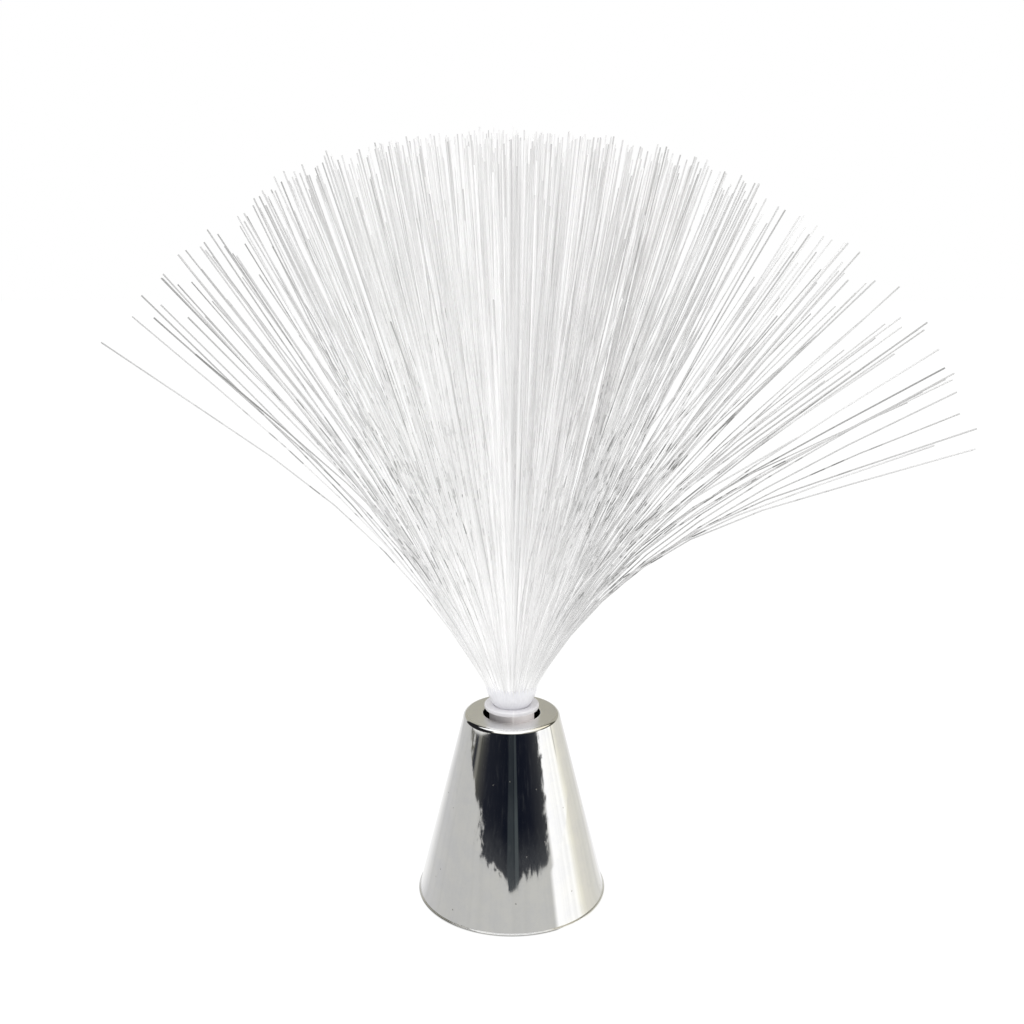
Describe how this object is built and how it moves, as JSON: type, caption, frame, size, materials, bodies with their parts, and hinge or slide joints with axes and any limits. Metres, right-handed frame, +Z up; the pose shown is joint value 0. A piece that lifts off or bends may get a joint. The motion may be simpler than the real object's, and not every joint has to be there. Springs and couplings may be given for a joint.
{
  "type": "fiber optic lamp",
  "caption": "Small battery lamp: a chromed cone holds button cells, a slide switch and coloured diodes, and a lift-out spray of clear fibres plugs into the white tube in its top.",
  "frame": {"origin": "middle of the bottom cover's flat underside, on which the lamp stands", "axes": "+Z up along the axis of the cone and the spray, -Y to the front, +X to the right; the switch and the battery door are in the underside"},
  "size_m": [0.2527, 0.25, 0.2335],
  "materials": {
    "chrome_plating": "bright chrome plating on moulded plastic",
    "clear_fibre": "clear light-guiding fibre, potted in clear resin at its foot",
    "white_plastic": "moulded, slightly translucent",
    "black_plastic": "moulded, fine texture",
    "circuit_board": "green solder mask",
    "black_resin": "glossy potting resin",
    "resistor_body": "lacquered",
    "screw_steel": "zinc-plated",
    "contact_brass": "bare, rolled strip",
    "switch_steel": "tinned sheet",
    "cell_can": "polished nickel-plated can",
    "lens_red": "tinted clear resin",
    "lens_green": "tinted clear resin",
    "lens_blue": "tinted clear resin",
    "wire_red": "soft insulation",
    "wire_white": "soft insulation",
    "wire_black": "soft insulation"
  },
  "bodies": {
    "lamp_base": {"cone_housing": "chrome_plating", "socket_tube": "white_plastic", "led_board": "circuit_board", "led_red": "lens_red", "led_green": "lens_green", "led_blue": "lens_blue", "controller_blob": "black_resin", "resistor_1": "resistor_body", "resistor_2": "resistor_body", "resistor_3": "resistor_body", "board_screw_1": "screw_steel", "board_screw_2": "screw_steel", "board_screw_3": "screw_steel", "bottom_cover": "black_plastic", "cover_screw_1": "screw_steel", "cover_screw_2": "screw_steel", "cover_screw_3": "screw_steel", "cell_1": "cell_can", "cell_2": "cell_can", "cell_3": "cell_can", "contact_positive": "contact_brass", "contact_negative": "contact_brass", "switch_case": "switch_steel", "switch_terminal_1": "contact_brass", "switch_terminal_2": "contact_brass", "switch_terminal_3": "contact_brass", "wire_positive": "wire_red", "wire_switched": "wire_white", "wire_negative": "wire_black"},
    "fibre_spray": {"bundle_sleeve": "black_plastic", "fibres_right": "clear_fibre", "fibres_back": "clear_fibre", "fibres_left": "clear_fibre", "fibres_front": "clear_fibre"},
    "battery_lid": {"battery_door": "black_plastic", "door_screw_1": "screw_steel", "door_screw_2": "screw_steel"},
    "slider": {"switch_slider": "black_plastic"}
  },
  "joints": [
    {"name": "spray_lift", "type": "slide", "parent": "lamp_base", "child": "fibre_spray", "axis": [0, 0, 1], "range_m": [0, 0.025]},
    {"name": "door_lift", "type": "slide", "parent": "lamp_base", "child": "battery_lid", "axis": [0, 0, -1], "range_m": [0, 0.012]},
    {"name": "switch_slide", "type": "slide", "parent": "lamp_base", "child": "slider", "axis": [1, 0, 0], "range_m": [0, 0.002]}
  ]
}
